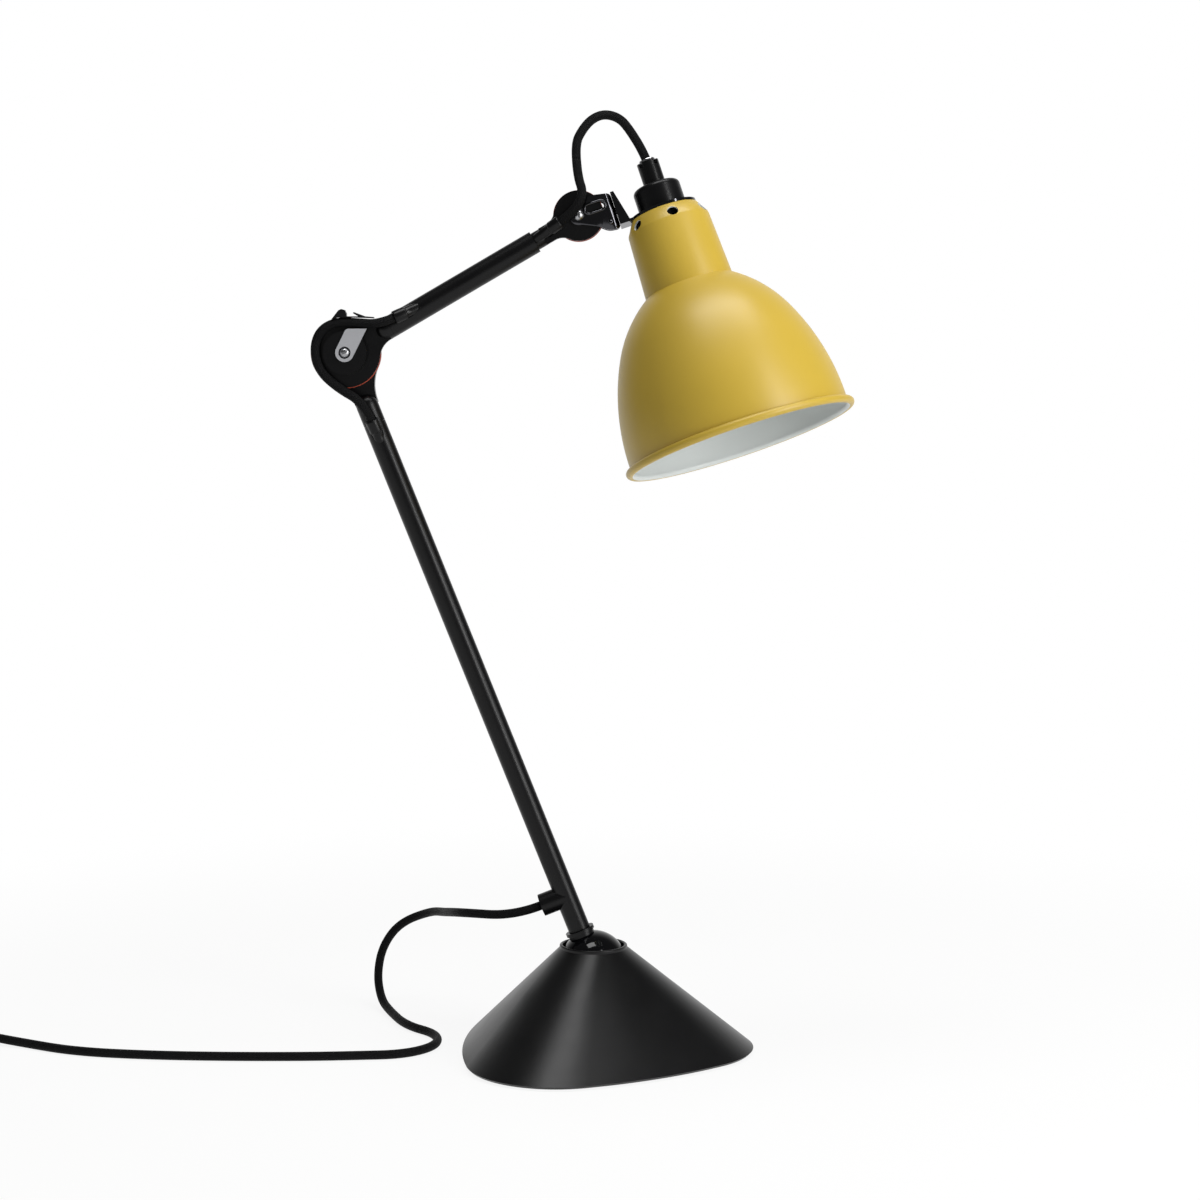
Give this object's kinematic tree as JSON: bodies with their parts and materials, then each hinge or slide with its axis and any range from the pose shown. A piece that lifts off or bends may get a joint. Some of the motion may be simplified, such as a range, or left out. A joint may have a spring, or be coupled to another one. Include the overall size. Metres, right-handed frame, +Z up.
{
  "type": "adjustable desk lamp",
  "caption": "Desk lamp with a weighted three-cornered base, a swivelling two-part arm on a ball, and a bell shade that tilts and turns; its lead has an inline switch and plug.",
  "frame": {"origin": "middle of the base's underside, where it rests on the table", "axes": "+Z up, +X towards the side that the shade hangs on, both arms in the XZ plane at rest"},
  "size_m": [0.683, 0.2112, 0.5514],
  "materials": {
    "base_coat": "fine matt black coat",
    "arm_coat": "satin black coat",
    "ball_black": "glossy black",
    "iron": "raw casting",
    "steel": "satin",
    "dark_nickel": "polished black nickel plating",
    "chrome": "polished",
    "zinc": "zinc plated",
    "brass": "plain",
    "friction_red": "salmon red fibre",
    "black_plastic": "moulded black",
    "pad_rubber": "soft black",
    "cord_black": "black woven textile sheath",
    "shade_yellow": "satin yellow enamel",
    "bulb_glass": "frosted"
  },
  "bodies": {
    "base": {"base_shell": "base_coat", "base_ballast": "iron", "base_cover_plate": "steel", "foot_pad": "pad_rubber", "base_screws": "zinc", "ball_retainer": "steel", "disc_springs": "steel", "socket_plug": "steel", "mains_lead_floor": "cord_black", "mains_lead_link": "cord_black", "mains_lead_coil": "cord_black", "coil_tie": "black_plastic", "switch_case_top": "black_plastic", "switch_case_bottom": "black_plastic", "switch_screws": "zinc", "plug_body": "black_plastic", "plug_pins": "chrome"},
    "ball_seat": {"friction_cup": "black_plastic"},
    "ball": {"swivel_ball": "ball_black", "ball_collar": "arm_coat"},
    "lower_arm": {"lower_tube": "arm_coat", "lead_inlet": "arm_coat", "inlet_bush": "black_plastic", "lower_ferrule": "black_plastic", "lower_arm_lead": "cord_black", "elbow_lower_knuckle": "arm_coat", "mains_lead_drop": "cord_black"},
    "upper_arm": {"elbow_upper_knuckle": "arm_coat", "elbow_washer": "friction_red", "tension_plate": "steel", "elbow_screw": "zinc", "elbow_nut": "zinc", "cable_clip": "black_plastic", "elbow_cable": "cord_black", "upper_tube": "arm_coat", "upper_ferrule": "black_plastic", "upper_arm_lead": "cord_black", "head_ferrule": "black_plastic", "head_knuckle": "arm_coat", "head_washer": "friction_red"},
    "head_clamp": {"head_disc": "arm_coat", "head_screw": "zinc", "head_nut": "zinc", "stirrup": "dark_nickel", "swivel_rivet": "dark_nickel", "head_cable_low": "cord_black"},
    "shade": {"shade_bracket": "dark_nickel", "shade": "shade_yellow", "shade_ring": "black_plastic", "lampholder_cap": "black_plastic", "lampholder_body": "black_plastic", "contact_shell": "brass", "centre_contact": "brass", "cord_grip": "black_plastic", "grip_insert": "zinc", "holder_lead": "cord_black", "bulb_cap": "brass", "bulb_glass": "bulb_glass", "head_cable_high": "cord_black"},
    "rocker": {"switch_rocker": "black_plastic"}
  },
  "joints": [
    {"name": "ball_swivel", "type": "hinge", "parent": "base", "child": "ball_seat", "pos_m": [0, 0, 0.052], "axis": [0, 0, 1], "range_deg": [-90, 90], "deforming": ["mains_lead_drop"]},
    {"name": "ball_tilt", "type": "hinge", "parent": "ball_seat", "child": "ball", "pos_m": [0, 0, 0.052], "axis": [0, 1, 0], "range_deg": [-8, 50], "deforming": ["mains_lead_drop"]},
    {"name": "arm_roll", "type": "hinge", "parent": "ball", "child": "lower_arm", "pos_m": [0, 0, 0.052], "axis": [-0.3697, 0, 0.9291], "range_deg": [-90, 90], "deforming": ["mains_lead_drop"]},
    {"name": "elbow_hinge", "type": "hinge", "parent": "lower_arm", "child": "upper_arm", "pos_m": [-0.14346, 0, 0.41251], "axis": [0, 1, 0], "range_deg": [-80, 30], "deforming": ["elbow_cable"]},
    {"name": "head_hinge", "type": "hinge", "parent": "upper_arm", "child": "head_clamp", "pos_m": [-0.00838, 0, 0.49113], "axis": [0, 1, 0], "range_deg": [-80, 40], "deforming": ["head_cable_low"]},
    {"name": "shade_swivel", "type": "hinge", "parent": "head_clamp", "child": "shade", "pos_m": [-0.00712, 0, 0.48733], "axis": [0.9489, 0, 0.3156], "range_deg": [-50, 70], "deforming": ["head_cable_high"]},
    {"name": "switch_rocker_tip", "type": "hinge", "parent": "base", "child": "rocker", "pos_m": [-0.416, 0.0125, 0.0125], "axis": [0, 1, 0], "range_deg": [-18, 0]}
  ]
}
